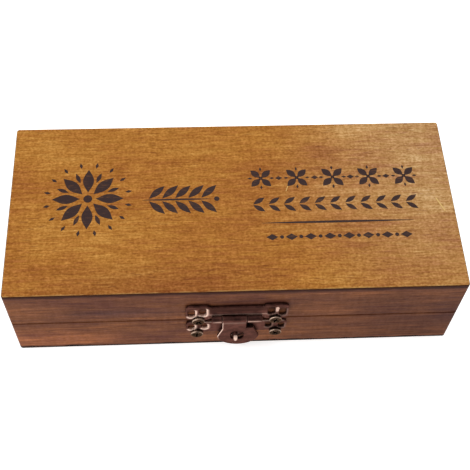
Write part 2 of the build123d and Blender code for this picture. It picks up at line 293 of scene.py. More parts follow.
def darken(tree, tint, factor):
    """Multiply a colour by a grey factor."""
    return blend(tree, 1.0, tint, grey(tree, factor), "MULTIPLY")


def thin_stain(tree, tint, factor):
    """Make a stain thinner or thicker: a brown stain soaks up blue light first and red light last."""
    channels = [calculate(tree, "POWER", factor, power) for power in STAIN_POWERS]
    return blend(tree, 1.0, tint, grey(tree, *channels), "MULTIPLY")


def wood_tint(tree, place, grain, finish):
    """Colour of the stained surface, height of its fibres and pores, and the noise of the fibres."""
    noise = {name: wood_noise(tree, place, grain, name, finish["shift"]) for name in WOOD_NOISES}
    stain = calculate(tree, "ADD", times(tree, noise["patches"], 0.45), times(tree, noise["streaks"], 0.55))
    tint = ramp(tree, remap(tree, stain, 0.36, 0.64, smooth=False), finish["tones"])
    depth = 1.0
    for name, (low, high) in STAIN_RANGES.items():
        amount = finish[name]
        share = remap(tree, noise[name], low, high, 1 - amount, 1 + amount, smooth=False)
        depth = times(tree, share, depth)
    tint = thin_stain(tree, tint, depth)
    bare_pores = remap(tree, noise["pores"], 0.60, 0.72)
    crowding = remap(tree, noise["clusters"], 0.40, 0.62, 0.2, finish["pores"])
    tint = blend(tree, times(tree, bare_pores, crowding), tint, finish["pore_colour"])
    height = calculate(tree, "SUBTRACT", noise["fibres"], times(tree, bare_pores, 0.8))
    return tint, height, noise["fibres"]


print("the stain's depth follows:", ", ".join(STAIN_RANGES))

# %% [markdown]
# ## Places on the wood
# A hand-finished box isn't even: the inside stays raw, and two short pale scratches cross the grain on
# the right of the lid. Painted shade darkens the wood above the latch and behind its holes, and near
# the front of the lid's top; a painted sheen makes a back corner of the top paler. Each of these
# is a mask worked out from the place: in a box, in an ellipsoid, or near a segment. For a segment,
# project the place onto it, hold the result between its ends, and measure the distance that is left.

# %% Masks from the place
def inside_box(tree, place, low, high):
    """1 inside the box between two corners, 0 outside it."""
    nearest = vectors(tree, "MINIMUM", vectors(tree, "MAXIMUM", place, low), high)
    return calculate(tree, "LESS_THAN", vectors(tree, "DISTANCE", nearest, place), 0.0001 * mm)


def cloud(tree, place, middle, reach, core=0.0):
    """1 in the core of an ellipsoid, fading to 0 at its edge; middle and reach in mm."""
    offset = vectors(tree, "SUBTRACT", place, Vector(middle) * mm)
    distance = vectors(tree, "LENGTH", vectors(tree, "DIVIDE", offset, Vector(reach) * mm))
    return remap(tree, distance, 1.0, core)


def scratch_mask(tree, place, start, end, width):
    """1 along a line on the lid from start to end, fading out across its width; all in mm."""
    start = Vector((*start, 0)) * mm
    along = Vector((*end, 0)) * mm - start
    offset = vectors(tree, "SUBTRACT", vectors(tree, "MULTIPLY", place, (1, 1, 0)), start)
    share = vectors(tree, "DOT_PRODUCT", offset, along / along.length_squared)
    share = add_node(tree, "ShaderNodeClamp", {0: share}).outputs[0]
    distance = vectors(tree, "DISTANCE", offset, vectors(tree, "MULTIPLY", share, along))
    return remap(tree, distance, width * mm, 0.3 * width * mm)


# The mask of the inside reaches a little into the boards, so that it takes in their inner faces
skin = 0.02 * mm
hollow_low = Vector((
    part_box("base_left_wall")[1].x - skin,
    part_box("base_front_wall")[1].y - skin,
    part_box("base_bottom_panel")[1].z - skin,
))
hollow_high = Vector((-hollow_low.x, -hollow_low.y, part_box("lid_top_panel")[0].z + skin))
print("hollow inside, in mm:", [round(size / mm, 1) for size in hollow_high - hollow_low])

# %% A stained board
end_grain_tone = 0.8
inside_strength = 0.55
worn_rim_strength = 0.4
rim_waver = 0.4 * mm


def rim_tint(tree, place, grain, finish, tint, upright, fibres):
    """A panel with pale worn edges, whose thin sides have a colour of their own and a dark rim."""
    bare = remap(tree, fibres, 0.35, 0.7, 0.0, worn_rim_strength)
    worn_rim = times(tree, remap(tree, upright, 0.999, 0.96), bare)
    tint = blend(tree, worn_rim, tint, finish["scratch_colour"])
    waver = grain_noise(tree, place, grain, 9, 9, 3.0, 0.6, 51)
    waver = remap(tree, waver, 0.3, 0.7, -rim_waver, rim_waver)
    level = calculate(tree, "ADD", separate(tree, place)[2], waver)
    rim = remap(tree, level, finish["rim"][0] * mm, finish["rim"][1] * mm)
    side_tint = blend(tree, rim, finish["side_colour"], finish["rim_colour"])
    side_tint = thin_stain(tree, side_tint, remap(tree, fibres, 0.25, 0.75, 0.8, 1.2))
    return blend(tree, remap(tree, upright, 0.9, 0.6), tint, side_tint)


def stained_wood(name, grain, finish, scratches=()):
    """A board whose grain runs along one axis. A finish with a rim is for a panel: the rim is the
    pair of levels in mm between which its side turns from its own colour to the dark one."""
    material, tree, shader, place = start_material(name)
    tint, height, fibres = wood_tint(tree, place, grain, finish)
    usual = finish["tones"][2][1]
    for middle, reach, target, strength in finish["clouds"]:
        share = times(tree, cloud(tree, place, middle, reach), strength)
        change = [new / old for new, old in zip(target, usual)]
        tint = blend(tree, share, tint, change, "MULTIPLY")
    normal = separate(tree, coordinates(tree, "Normal"))
    if "rim" in finish:
        upright = calculate(tree, "ABSOLUTE", normal[2])
        tint = rim_tint(tree, place, grain, finish, tint, upright, fibres)
    else:
        end_grain = remap(tree, calculate(tree, "ABSOLUTE", normal[AXES[grain]]), 0.5, 0.95)
        tint = blend(tree, end_grain, tint, darken(tree, tint, end_grain_tone))
    for start, end, width in scratches:
        tint = blend(tree, scratch_mask(tree, place, start, end, width), tint, finish["scratch_colour"])
    inner = times(tree, inside_box(tree, place, hollow_low, hollow_high), inside_strength)
    tint = blend(tree, inner, tint, finish["inside_colour"])
    rough = remap(tree, fibres, 0.3, 0.7, finish["roughness"] - 0.06, finish["roughness"] + 0.08)
    relief = bumps(tree, 0.3, 0.05, height)
    fill(shader, Base_Color=tint, Roughness=rough, Specular_IOR_Level=finish["gloss"], Normal=relief)
    return material


print("end grain keeps", end_grain_tone, "of its lightness")

# %% [markdown]
# ## Stains for the panels and the boards
# The lid's top is golden brown and the boards below it are redder and darker. The thin edge of the
# top panel drank the most stain, so it draws a dark line under the lid's rim. The tones run from the
# darkest to the palest wood, and each cloud is a middle, a reach in mm, a colour and a strength.

# %% Wood finishes
shared_finish = {"inside_colour": colour(186, 140, 88), "pores": 0.6, "roughness": 0.55, "gloss": 0.04}
top_finish = dict(
    shared_finish,
    tones=[
        (0.0, colour(156, 94, 42)),
        (0.35, colour(169, 108, 46)),
        (0.7, colour(177, 118, 50)),
        (1.0, colour(190, 133, 62)),
    ],
    pore_colour=colour(124, 68, 32),
    scratch_colour=colour(226, 190, 120),
    side_colour=colour(106, 64, 48),
    rim_colour=colour(64, 34, 25),
    rim=(35.9, 36.9),
    clouds=[
        # Painted sheen: the back right of the top is paler
        ((72, 22, 38), (64, 92, 40), colour(194, 152, 100), 0.8),
        # Painted shade near the front edge of the top, on its left half
        ((-24, -33, 38), (60, 15, 40), colour(140, 80, 38), 0.65),
        ((20, 2, 38), (34, 26, 40), colour(166, 106, 52), 0.5),
    ],
    fibres=0.26,
    specks=0.24,
    lines=0.05,
    figure=0.11,
    shift=0.0,
)
bottom_finish = dict(
    top_finish,
    side_colour=colour(128, 78, 54),
    # The dark rim along the foot of the base is partly the panel's dark edge and partly painted shade,
    # which the glowing floor would light up otherwise
    rim_colour=colour(30, 16, 14),
    rim=(2.2, 1.2),
    clouds=[],
    shift=90.0,
)
board_finish = dict(
    shared_finish,
    tones=[
        (0.0, colour(92, 52, 40)),
        (0.4, colour(110, 66, 44)),
        (0.7, colour(120, 73, 46)),
        (1.0, colour(138, 84, 51)),
    ],
    pore_colour=colour(74, 42, 36),
    clouds=[
        ((-66, -33, 5), (44, 12, 13), colour(162, 98, 62), 0.8),
        ((-10, -33, 5), (34, 12, 9), colour(140, 86, 56), 0.6),
        ((76, -33, 8), (74, 12, 44), colour(88, 50, 34), 0.75),
        ((-40, -33, 25), (34, 12, 4.4), colour(88, 55, 48), 0.8),
        ((40, -33, 28), (52, 12, 9), colour(106, 64, 42), 0.8),
        # Painted shade on the lid's front above the hasp
        ((0, -33, 31), (15, 3, 3), colour(86, 50, 38), 0.8),
        # Painted shade on the wood seen through the holes of the hasp's plates
        ((-11.4, -33, 26.6), (3.6, 3, 3.4), colour(52, 30, 28), 0.8),
        ((13.2, -33, 26.2), (6.2, 3, 3.6), colour(38, 22, 22), 0.9),
        ((13.2, -33, 15.6), (6.2, 3, 2.8), colour(38, 22, 22), 0.9),
    ],
    fibres=0.16,
    specks=0.1,
    lines=0.12,
    figure=0.09,
    shift=40.0,
)
# Start, end and width of each scratch on the lid
scratches = [((69.2, 0.5), (71.4, -4.5), 0.28), ((18.1, 4.7), (19.8, 9.3), 0.16)]
stains = {
    "top": stained_wood("golden_stained_top", "x", top_finish, scratches),
    "bottom": stained_wood("brown_stained_bottom", "x", bottom_finish),
    "boards": stained_wood("brown_stained_boards", "x", board_finish),
    "ends": stained_wood("brown_stained_ends", "y", dict(board_finish, clouds=[], shift=61.0)),
}
print("stains:", sorted(stains))

# %% Stains on the box
def finish_nodes(names, material):
    """Give nodes of the frame their finish."""
    for name in names:
        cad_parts[name].material_slots[0].material = material


finish_nodes(["lid_top_panel"], stains["top"])
finish_nodes(["base_bottom_panel"], stains["bottom"])
for half in ("lid", "base"):
    finish_nodes([f"{half}_front_wall", f"{half}_back_wall"], stains["boards"])
    finish_nodes([f"{half}_left_wall", f"{half}_right_wall"], stains["ends"])
print("2 panels and 8 boards are stained")

# %% [markdown]
# ## Antique metal
# The hasp is copper-plated and darkened, then polished again wherever it is rubbed along its edges.
# The Bevel node gives the normal that a rounded edge would have. Where that differs from the true
# normal there is an edge, so the difference is a map of the rubbed edges. On top come painted
# highlights, on the rims of the cut-outs and in places, and painted shade in places: each place faces
# one way and lies in one cloud. Seen at a glancing angle every metal turns white, which looks milky on
# old plating, so Specular Tint keeps it warm.

# %% A darkened metal
# Between these cosines of the rounded and the true normal an edge grows from dull to bright
edge_cosines = (0.995, 0.88)


def aged_metal(name, patina, worn_and_highlight, edge_width, wear_strength, places=(), glancing=(0.9, 0.66, 0.6, 1)):
    """Dark plated metal whose edges shine. Each place is a direction, the smallest cosine with it, a
    middle and a reach in mm, and a strength: above 0 for a painted highlight, below 0 for painted shade.
    The mesh may store rubbed shine and painted highlights, below 0 painted shade, and recess, whose
    faces get painted shade; glancing tints reflections near the rim."""
    material, tree, shader, place = start_material(name)
    true_normal = add_node(tree, "ShaderNodeNewGeometry").outputs["Normal"]
    rounded = add_node(tree, "ShaderNodeBevel", {"Radius": edge_width * mm}, samples=6).outputs[0]
    edges = remap(tree, vectors(tree, "DOT_PRODUCT", rounded, true_normal), *edge_cosines)
    smudges = grain_noise(tree, place, "x", 2.2, 1.6, 4.0, 0.6)
    grit = grain_noise(tree, place, "x", 0.35, 0.3, 2.0, 0.6, 5.0)
    polish_and_painted_light_value = add_node(tree, "ShaderNodeAttribute", attribute_name="polish_and_painted_light").outputs["Fac"]
    recess = add_node(tree, "ShaderNodeAttribute", attribute_name="recess").outputs["Fac"]
    painted_shade = times(tree, polish_and_painted_light_value, -1.0)
    edge_wear = times(tree, edges, remap(tree, smudges, 0.35, 0.7, 0.1, wear_strength))
    shine = times(tree, polish_and_painted_light_value, remap(tree, smudges, 0.25, 0.5, 0.75, 1))
    wear_and_highlight = calculate(tree, "MAXIMUM", edge_wear, shine)
    # Places with a strength above 0 add painted highlights, below 0 painted shade
    for direction, cosine, middle, reach, strength in places:
        facing = vectors(tree, "DOT_PRODUCT", coordinates(tree, "Normal"), Vector(direction).normalized())
        share = remap(tree, facing, cosine, (cosine + 3) / 4, 0.0, abs(strength))
        share = times(tree, share, cloud(tree, place, middle, reach, 0.7))
        if strength > 0:
            wear_and_highlight = calculate(tree, "MAXIMUM", wear_and_highlight, share)
        else:
            painted_shade = calculate(tree, "MAXIMUM", painted_shade, share)
    tint = blend(tree, remap(tree, smudges, 0.3, 0.7), *patina)
    # Painted shade darkens the patina; rubbed edges and painted highlights bring up the bright colour
    tint = blend(tree, painted_shade, tint, darken(tree, patina[0], 0.6))
    tint = blend(tree, wear_and_highlight, tint, worn_and_highlight)
    # Painted shade: the faces of a screw's cross recess are painted nearly black
    tint = blend(tree, times(tree, recess, 0.9), tint, colour(14, 10, 8))
    rough = calculate(tree, "ADD", remap(tree, wear_and_highlight, 0, 1, 0.46, 0.34), times(tree, grit, 0.12))
    metallic = remap(tree, wear_and_highlight, 0.2, 1.0, 1.0, 0.35)
    relief = bumps(tree, 0.25, 0.03, grit, Normal=rounded)
    fill(shader, Base_Color=tint, Metallic=metallic, Roughness=rough, Normal=relief, Specular_Tint=glancing)
    return material


print("an edge starts to shine where the normals' cosine is below", edge_cosines[0])

# %% Metal finishes
front = (0, -1, 0)
# Painted shade on the upper bar of the hasp
bar_painted_shade = (front, 0.7, (0, -34.6, 27.9), (14, 0.8, 2.4), -0.75)
# Painted highlights where the light catches the foot of the bar, the top of the lower plate, the right
# ear's divider, the knuckles, the staple's nose, the tongue's top and left edge, and each screw's rim
bar_foot = (front, 0.7, (0, -34.6, 24.0), (17, 0.8, 0.6), 0.22)
plate_top = ((0, -0.5, 0.85), 0.5, (1, -34.6, 18.6), (18, 1.4, 0.9), 0.3)
divider = (front, 0.7, (13.2, -34.6, 26.8), (0.8, 1.0, 2.0), 0.62)
knuckle_front = (front, 0.9, (0, -36.4, 22.0), (9.5, 0.5, 1.4), 0.3)
staple_nose = ((0, -0.9, 0.45), 0.5, (-0.3, -38.0, 11), (2, 1.8, 3), 0.95)
tongue_top = (front, 0.7, (-0.8, -36.1, 20.4), (5.4, 0.8, 0.7), 0.1)
tongue_left_edge = ((-0.63, -0.7, 0.33), 0.78, (-6.5, -35.5, 12), (4.2, 4, 14), 0.95)
screw_rim = ((-0.5, -0.55, 0.67), 0.84, (0, 0, 19), (200, 200, 200), 1.0)
latch_places = [bar_painted_shade, bar_foot, plate_top, divider, knuckle_front, staple_nose]

copper = ((colour(64, 40, 36), colour(98, 63, 56)), colour(252, 216, 196))
brass = ((colour(36, 25, 20), colour(68, 48, 38)), colour(255, 220, 194))
metals = {
    "latch": aged_metal("antique_copper", *copper, 0.25, 0.45, latch_places),
    "tongue": aged_metal("antique_copper_tongue", *copper, 0.25, 0.3, [tongue_top, tongue_left_edge]),
    "hinge": aged_metal("antique_copper_hinges", *copper, 0.2, 0.5),
    "screw": aged_metal("aged_brass", *brass, 0.15, 0.35, [screw_rim], (0.8, 0.66, 0.55, 1)),
}
hinge_parts = ("base_leaf", "lid_leaf", "pin")
hinge_nodes = [f"{side}_hinge_{part}" for side in ("left", "right") for part in hinge_parts]
finish_nodes(["hasp_pin", "catch_staple", "hasp_leaf", "catch_plate"], metals["latch"])
finish_nodes(["hasp_tongue"], metals["tongue"])
finish_nodes(hinge_nodes, metals["hinge"])
finish_nodes(["hasp_screws", "catch_screws", "hinge_base_screws", "hinge_lid_screws"], metals["screw"])
print("metals:", sorted(metals))

# %% [markdown]
# ## Small helpers for meshes
# A finished piece keeps its object at the origin, so its place lives in its mesh. `evaluated_mesh`
# reads what modifiers made of an object, `close_seams` merges doubled points, and `settle` gives a
# piece its finish, a body to ride on and the node that it stands for.

# %% Helpers for meshes
weld = 0.002 * mm


def evaluated_mesh(piece, name):
    """The plain mesh that a curve, a text or an object with modifiers turns into."""
    bpy.context.view_layer.update()
    graph = bpy.context.evaluated_depsgraph_get()
    mesh = bpy.data.meshes.new_from_object(piece.evaluated_get(graph), depsgraph=graph)
    mesh.name = name
    return mesh


def remove(piece):
    bpy.data.objects.remove(piece, do_unlink=True)


def close_seams(mesh):
    """Merge doubled points and turn all faces outwards."""
    work = bmesh.new()
    work.from_mesh(mesh)
    bmesh.ops.remove_doubles(work, verts=work.verts, dist=weld)
    bmesh.ops.dissolve_degenerate(work, edges=work.edges, dist=weld)
    bmesh.ops.recalc_face_normals(work, faces=work.faces)
    work.to_mesh(mesh)
    work.free()


def smooth(mesh, angle=32):
    """Smooth shading that keeps edges sharper than the angle, in degrees."""
    mesh.shade_smooth()
    mesh.set_sharp_from_angle(angle=math.radians(angle))


def settle(piece, body, material, node=None):
    """Finish a piece, let it ride on a body and stand for a node of the frame."""
    piece.data.materials.clear()
    piece.data.materials.append(material)
    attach(piece, body)
    if node:
        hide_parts(node)
    triangles = sum(len(face.vertices) - 2 for face in piece.data.polygons)
    print(f"{piece.name}: {triangles} triangles on {body}")


print("mesh helpers ready")

# %% [markdown]
# ## The pierced plates of the hasp
# On the real hasp the two plates are stamped from sheet and tumbled, so every rim is round. Rounding
# a cut-out plate edge by edge is fragile. A flat curve does it in one step: the plate's outline and
# its holes become closed splines, `extrude` gives the thickness and `bevel_depth` rounds both rims.
# The outline is read from the front face of the frame's own node, so the finished plate lies exactly
# where the construction put it.

# %% Outlines of a flat face
def face_outlines(node, level):
    """Closed outlines, as (x, z) pairs, of the part of a node that lies flat at y = level."""
    work = bmesh.new()
    work.from_mesh(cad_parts[node].data)
    bmesh.ops.remove_doubles(work, verts=work.verts, dist=weld)
    flat = {face for face in work.faces if all(abs(vert.co.y - level) < 0.005 * mm for vert in face.verts)}
    neighbours = {}
    for edge in work.edges:
        if sum(face in flat for face in edge.link_faces) == 1:
            first, second = edge.verts
            neighbours.setdefault(first, []).append(second)
            neighbours.setdefault(second, []).append(first)
    outlines = []
    while neighbours:
        walk = [next(iter(neighbours))]
        while following := [vert for vert in neighbours.pop(walk[-1]) if vert in neighbours]:
            walk.append(following[0])
        outlines.append([(vert.co.x, vert.co.z) for vert in walk])
    work.free()
    outlines.sort(key=lambda points: min(x for x, z in points))
    return outlines


plate_low, plate_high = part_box("catch_plate")
plate_front = plate_low.y
plate_thickness = plate_high.y - plate_low.y
leaf_outlines = face_outlines("hasp_leaf", plate_front)
plate_outlines = face_outlines("catch_plate", plate_front)
print("outlines of the upper plate:", len(leaf_outlines), "of the lower plate:", len(plate_outlines))

# %% A plate with round rims
plate_rounding = 0.34 * mm


def rounded_plate(name, outlines):
    """An upright plate with round rims, from y = plate_front and thick towards +Y."""
    curve = bpy.data.curves.new(name, "CURVE")
    curve.dimensions = "2D"
    curve.fill_mode = "BOTH"
    for points in outlines:
        spline = curve.splines.new("POLY")
        spline.points.add(len(points) - 1)
        for point, (x, z) in zip(spline.points, points):
            point.co = (x, z, 0, 1)
        spline.use_cyclic_u = True
    curve.bevel_depth = plate_rounding
    curve.bevel_resolution = 3
    curve.offset = -plate_rounding
    curve.extrude = plate_thickness / 2 - plate_rounding
    blank = add_object(name, curve)
    mesh = evaluated_mesh(blank, name)
    remove(blank)
    middle_y = plate_front + plate_thickness / 2
    mesh.transform(Matrix(((1, 0, 0, 0), (0, 0, -1, middle_y), (0, 1, 0, 0), (0, 0, 0, 1))))
    close_seams(mesh)
    return add_object(name, mesh)


print("the rims of a plate are rounded by", round(plate_rounding / mm, 2), "mm")

# %% [markdown]
# ## Knuckles on the upper plate
# The upper plate carries the two outer knuckles of the hasp's barrel. A knuckle is a turned shape: a
# half profile spun about the pin. It is joined to the plate with an exact Boolean union, and then
# the pin's bore is cut through both. The construction's plate stops where its barrel starts, so its
# foot is first made longer, to run into the knuckles.

# %% Turned bars along X
spin_steps = 40


def turned_bar(name, profile, axis_y, axis_z):
    """Spin (x, radius) pairs about a line along X; it closes where the profile ends at radius 0."""
    work = bmesh.new()
    verts = [work.verts.new((x, axis_y, axis_z + radius)) for x, radius in profile]
    edges = [work.edges.new(pair) for pair in zip(verts, verts[1:])]
    turning = {"cent": (0, axis_y, axis_z), "axis": (1, 0, 0), "angle": math.tau, "steps": spin_steps}
    bmesh.ops.spin(work, geom=verts + edges, use_merge=True, **turning)
    mesh = bpy.data.meshes.new(name)
    work.to_mesh(mesh)
    work.free()
    close_seams(mesh)
    return add_object(name, mesh)


def round_ended(start, end, radius, rounding, steps=3):
    """Half profile of a bar from start to end whose ends are rounded."""
    turns = [math.pi / 2 * step / steps for step in range(steps + 1)]
    rise = [(rounding * (1 - math.cos(turn)), radius - rounding * (1 - math.sin(turn))) for turn in turns]
    first_end = [(start + inward, height) for inward, height in rise]
    last_end = [(end - inward, height) for inward, height in reversed(rise)]
    return [(start, 0)] + first_end + last_end + [(end, 0)]


def combine(piece, others, operation):
    """Apply exact Booleans to a piece, one after another, and remove the other pieces."""
    for other in others:
        modifier = piece.modifiers.new(operation, "BOOLEAN")
        modifier.operation = operation
        modifier.solver = "EXACT"
        modifier.object = other
    mesh = evaluated_mesh(piece, piece.name)
    piece.modifiers.clear()
    piece.data = mesh
    for other in others:
        remove(other)
    close_seams(mesh)


print("a knuckle is spun in", spin_steps, "steps")

# %% The upper plate with its knuckles, and the lower plate
knuckle_rounding = 0.25 * mm
foot_above_pin = 0.5 * mm
pin_low, pin_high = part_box("hasp_pin")
pin_y = (pin_low.y + pin_high.y) / 2
pin_z = (pin_low.z + pin_high.z) / 2
pin_radius = (pin_high.z - pin_low.z) / 2
barrel_radius = pin_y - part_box("hasp_leaf")[0].y
leaf_points = [vert.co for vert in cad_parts["hasp_leaf"].data.vertices]
knuckle_ends = [point.x for point in leaf_points if point.y < plate_front - 0.5 * mm]
knuckles = [
    (min(knuckle_ends), max(x for x in knuckle_ends if x < 0)),
    (min(x for x in knuckle_ends if x > 0), max(knuckle_ends)),
]


def reach_into_barrel(outlines):
    """Lower the points where the barrel cuts the plate off, so that the plate runs into it."""
    cut = pin_z + math.sqrt(barrel_radius ** 2 - (plate_front - pin_y) ** 2)
    near = 0.05 * mm

    def lowered(x, z):
        on_barrel = abs(z - cut) < near and abs(x) < max(knuckle_ends) + near
        return (x, pin_z + foot_above_pin if on_barrel else z)
    return [[lowered(x, z) for x, z in points] for points in outlines]


def bar_on_pin(name, profile):
    return turned_bar(name, profile, pin_y, pin_z)


hasp_leaf = rounded_plate("hasp_leaf_finished", reach_into_barrel(leaf_outlines))
bars = [bar_on_pin("knuckle", round_ended(*ends, barrel_radius, knuckle_rounding)) for ends in knuckles]
combine(hasp_leaf, bars, "UNION")
bore_start, bore_end = pin_low.x - mm, pin_high.x + mm
bore = [(bore_start, 0), (bore_start, pin_radius), (bore_end, pin_radius), (bore_end, 0)]
combine(hasp_leaf, [bar_on_pin("bore", bore)], "DIFFERENCE")
catch_plate = rounded_plate("catch_plate_finished", plate_outlines)
print("knuckles in mm:", [[round(x / mm, 1) for x in ends] for ends in knuckles])
print("points:", {piece.name: len(piece.data.vertices) for piece in (hasp_leaf, catch_plate)})

# %% [markdown]
# ## Painted highlights and shade on the rims
# The rims of the cut-outs get painted highlights on the sides that face the light: along the lower
# edge of each hole and up its right side, most of all on the left ears. Above each hole the metal gets
# painted shade instead. A point attribute stores both on the mesh, above and below zero, and
# the metal reads it. It depends on how near a point is to a hole, and on which side of it.

# %% Distances to the holes
def held(value):
    """A value held between 0 and 1."""
    return min(1.0, max(0.0, value))


def cut_grid(mesh, spacing):
    """Cut a mesh along a grid in X and Z, so that its points can hold a fine pattern."""
    work = bmesh.new()
    work.from_mesh(mesh)
    for axis in (0, 2):
        places = [vert.co[axis] for vert in work.verts]
        direction = [0.0, 0.0, 0.0]
        direction[axis] = 1.0
        step = min(places) + spacing
        while step < max(places):
            point = [step * part for part in direction]
            everything = work.verts[:] + work.edges[:] + work.faces[:]
            bmesh.ops.bisect_plane(work, geom=everything, dist=1e-7, plane_co=point, plane_no=direction)
            step += spacing
    work.to_mesh(mesh)
    work.free()


def outline_distance(here, points):
    """Distance from a point to a closed outline."""
    nearest = math.inf
    for start, end in zip(points, points[1:] + points[:1]):
        along = end - start
        share = held((here - start).dot(along) / max(along.length_squared, 1e-12))
        nearest = min(nearest, (here - start - along * share).length)
    return nearest


triangle = [Vector(corner) for corner in ((1, 0), (0, 1), (-1, 0))]
print("from a point to a triangle:", outline_distance(Vector((0, 3)), triangle))

# %% Painted highlights and shade around the holes
grid_spacing = 0.4 * mm
rim_reach = 0.9 * mm
painted_shade_reach = 1.6 * mm
# The right ears get less painted highlight, as the light comes from the left
right_ear_highlight = 0.12
painted_shade_strength = 0.8


def painted_light_at(here, holes):
    """The painted highlight at a point, from its place around the nearest hole; below 0 is painted shade.
    """
    distances = [outline_distance(here, points) for middle, half, points in holes]
    distance = min(distances)
    middle, half, points = holes[distances.index(distance)]
    right = (here.x - middle.x) / half.x
    below = (middle.y - here.y) / half.y
    shine = held(1.5 * (1 - distance / rim_reach)) * held((max(right, below) - 0.5) / 0.4)
    shine = shine * (right_ear_highlight if here.x > 0 else 1.0)
    painted_shade = held(1.5 * (1 - distance / painted_shade_reach)) * held((-0.9 - below) / 0.3)
    return shine - painted_shade_strength * painted_shade


def paint_light_around_holes(piece, outlines):
    """Store the painted highlight and shade of every point of a plate; the widest outline is the plate's
    own.
    """
    cut_grid(piece.data, grid_spacing)
    widest = max(outlines, key=lambda points: max(x for x, z in points) - min(x for x, z in points))
    holes = []
    for points in outlines:
        if points is not widest:
            low = Vector(map(min, zip(*points)))
            high = Vector(map(max, zip(*points)))
            holes.append(((low + high) / 2, (high - low) / 2, [Vector(point) for point in points]))
    values = [painted_light_at(Vector((vert.co.x, vert.co.z)), holes) for vert in piece.data.vertices]
    piece.data.attributes.new("polish_and_painted_light", "FLOAT", "POINT").data.foreach_set("value", values)
    print(f"{piece.name}: {len(holes)} holes, {sum(value > 0.3 for value in values)} points with painted highlight")


paint_light_around_holes(hasp_leaf, leaf_outlines)
paint_light_around_holes(catch_plate, plate_outlines)
for piece, body, node in ((hasp_leaf, "lid", "hasp_leaf"), (catch_plate, "base", "catch_plate")):
    smooth(piece.data)
    settle(piece, body, metals["latch"], node)

# %% [markdown]
# ## Screws
# Twelve small screws hold the metal to the wood: two in each plate of the hasp and two in each leaf of
# the hinges. They are one shape repeated, which is what Geometry Nodes are for. The group
# below shapes a sphere into a flat head with round shoulders, adds a shank with a tip, cuts the cross
# out of the head, and puts a copy at every point that it is given. Each copy gets its own turn, because
# no two screws stop at the same angle. The head's sizes come from the frame.

# %% Helpers for Geometry Nodes
def start_group(name, inputs):
    """A Geometry Nodes group with named inputs, given as name: (socket type, default)."""
    group = bpy.data.node_groups.new(name, "GeometryNodeTree")
    group.interface.new_socket("Geometry", in_out="INPUT", socket_type="NodeSocketGeometry")
    for label, (kind, default) in inputs.items():
        socket = group.interface.new_socket(label, in_out="INPUT", socket_type="NodeSocket" + kind)
        if default is not None:
            socket.default_value = default
    group.interface.new_socket("Geometry", in_out="OUTPUT", socket_type="NodeSocketGeometry")
    return group, group.nodes.new("NodeGroupInput").outputs


def geometry(group, kind, inputs=None, **settings):
    """The first output of a new geometry node."""
    return add_node(group, "GeometryNode" + kind, inputs, **settings).outputs[0]


def gathered(group, kind, parts, socket, inputs=None, **settings):
    """The output of a node that takes several shapes through one of its inputs."""
    node = add_node(group, "GeometryNode" + kind, inputs, **settings)
    for part in parts:
        group.links.new(part, node.inputs[socket])
    return node.outputs[0]


def end_group(group, shape, material):
    """Close a group with Realize Instances and Set Material."""
    real = geometry(group, "RealizeInstances", {0: shape})
    painted = geometry(group, "SetMaterial", {0: real, "Material": material})
    add_node(group, "NodeGroupOutput", {0: painted})


def run_group(name, group, places, values):
    """Run a group on loose points and return the plain mesh that it makes."""
    points = bpy.data.meshes.new(name)
    points.from_pydata(places, [], [])
    carrier = add_object(name, points)
    modifier = carrier.modifiers.new(name, "NODES")
    modifier.node_group = group
    for item in group.interface.items_tree:
        if item.in_out == "INPUT" and item.name in values:
            modifier[item.identifier] = values[item.name]
    mesh = evaluated_mesh(carrier, name)
    remove(carrier)
    return mesh


def input_names(group):
    return [item.name for item in group.interface.items_tree if item.in_out == "INPUT"]


print("Geometry Nodes helpers ready")

# %% Moving and turning inside a group
def combine_xyz(group, x=0.0, y=0.0, z=0.0):
    return add_node(group, "ShaderNodeCombineXYZ", {0: x, 1: y, 2: z}).outputs[0]


def moved(group, shape, **shift):
    """Shift a shape by values or sockets."""
    return geometry(group, "Transform", {"Geometry": shape, "Translation": combine_xyz(group, **shift)})


def turned(group, **angles):
    """A rotation by angles about X, Y or Z."""
    return add_node(group, "FunctionNodeEulerToRotation", {0: combine_xyz(group, **angles)}).outputs[0]


def random_share(group, seed, low=0.0):
    """A random number between low and 1 for each point; the float output is the second."""
    return add_node(group, "FunctionNodeRandomValue", {2: low, "Seed": seed}, data_type="FLOAT").outputs[1]


def positions(group):
    """X, Y and Z of every point of a shape."""
    return separate(group, geometry(group, "InputPosition"))


def stored(group, shape, name, value, domain):
    """A shape with a number stored on it, which a material can read."""
    inputs = {"Geometry": shape, "Name": name, "Value": value}
    return geometry(group, "StoreNamedAttribute", inputs, data_type="FLOAT", domain=domain)


print("a rotation takes angles in radians: a quarter turn is", round(math.pi / 2, 3))

# %% The head of a screw
shoulder_polish = 0.5


def flat_head(group, radius, height, side_share=0.7, flat_from=0.68):
    """A sphere pressed into a flat screw head: a straight side, a round shoulder and a level face."""
    side = times(group, height, side_share)
    shoulder = calculate(group, "SUBTRACT", height, side)
    sphere = geometry(group, "MeshUVSphere", {"Segments": 40, "Rings": 36, "Radius": 1.0})
    x, y, z = positions(group)
    share = remap(group, z, 0.0, flat_from, 0.0, math.pi / 2, smooth=False)
    upper = times(group, calculate(group, "SINE", share), shoulder)
    lower = times(group, remap(group, z, -0.3, 0.0, smooth=False), side)
    rise = calculate(group, "ADD", upper, lower)
    place = combine_xyz(group, times(group, x, radius), times(group, y, radius), rise)
    turning = calculate(group, "SINE", times(group, share, 2.0))
    turning = calculate(group, "POWER", calculate(group, "MAXIMUM", turning, 0.0), 2.0)
    marked = stored(group, sphere, "polish_and_painted_light", times(group, turning, shoulder_polish), "POINT")
    return geometry(group, "SetPosition", {"Geometry": marked, "Position": place})


print("the shoulder of a head carries polish up to", shoulder_polish)

